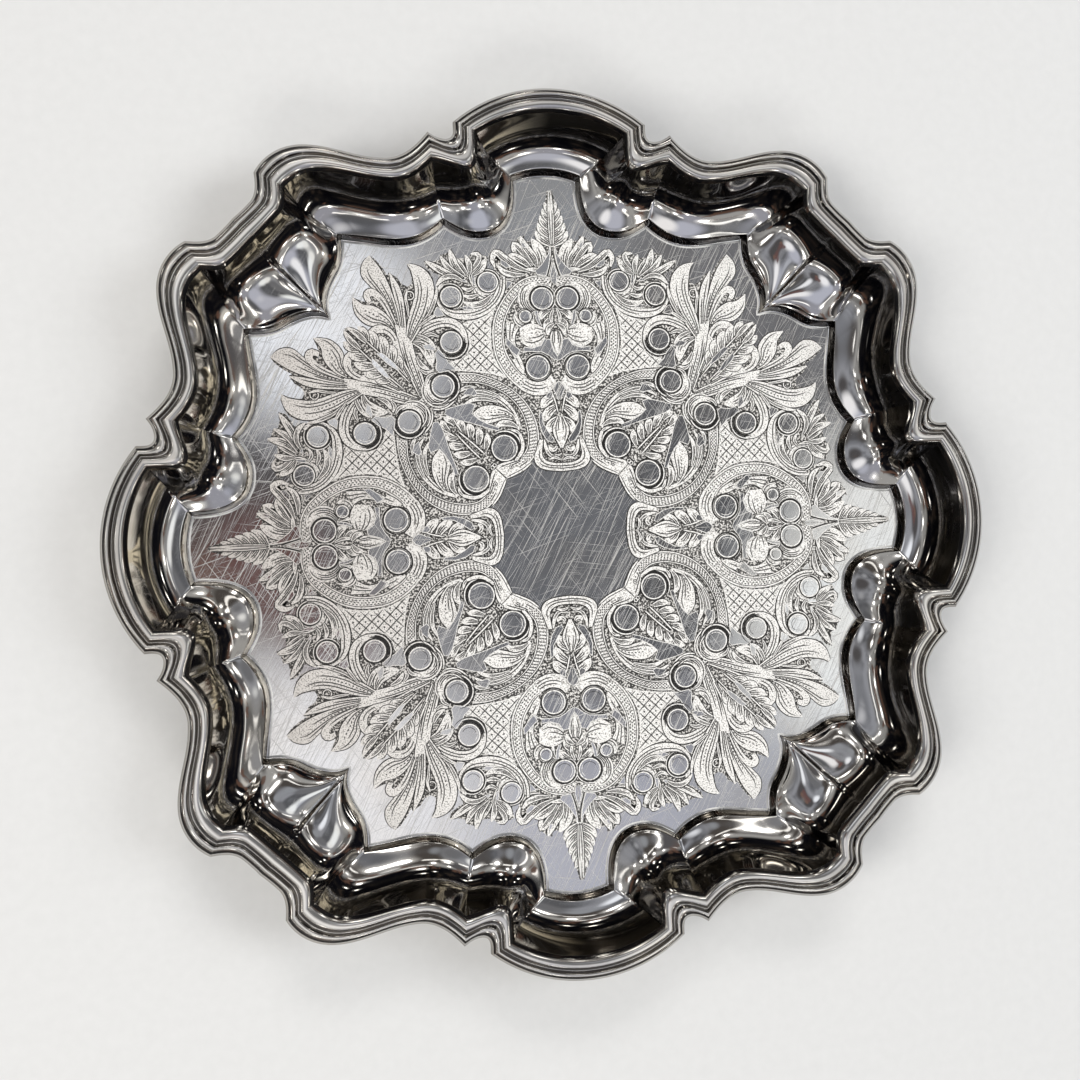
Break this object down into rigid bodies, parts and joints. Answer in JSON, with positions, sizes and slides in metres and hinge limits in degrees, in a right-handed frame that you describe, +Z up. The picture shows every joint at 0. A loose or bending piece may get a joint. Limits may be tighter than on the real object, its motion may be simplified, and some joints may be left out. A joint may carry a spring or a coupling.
{
  "type": "offering plate",
  "caption": "Shaped shallow salver: flat well, pressed lobed wall and moulded scalloped border with cardinal arcs, stepped cusps and diagonal wings.",
  "frame": {"origin": "middle of the underside of the flat well, on the plane the plate rests on", "axes": "+Z up out of the dish, +Y and +X through two of the four cardinal border arcs"},
  "size_m": [0.305, 0.305, 0.0215],
  "materials": {
    "plate_sheet": "polished silver plate with fine hairline scratches and frosted engraving",
    "border_moulding": "polished silver plate moulding, slightly warm in the grooves"
  },
  "bodies": {
    "root": {"body": "plate_sheet", "arc_n": "border_moulding", "arc_e": "border_moulding", "arc_s": "border_moulding", "arc_w": "border_moulding", "step_n_r": "border_moulding", "step_e_l": "border_moulding", "step_e_r": "border_moulding", "step_s_l": "border_moulding", "step_s_r": "border_moulding", "step_w_l": "border_moulding", "step_w_r": "border_moulding", "step_n_l": "border_moulding", "ogee_n_r": "border_moulding", "ogee_e_l": "border_moulding", "ogee_e_r": "border_moulding", "ogee_s_l": "border_moulding", "ogee_s_r": "border_moulding", "ogee_w_l": "border_moulding", "ogee_w_r": "border_moulding", "ogee_n_l": "border_moulding", "wing_ne": "border_moulding", "wing_se": "border_moulding", "wing_sw": "border_moulding", "wing_nw": "border_moulding"}
  },
  "joints": []
}
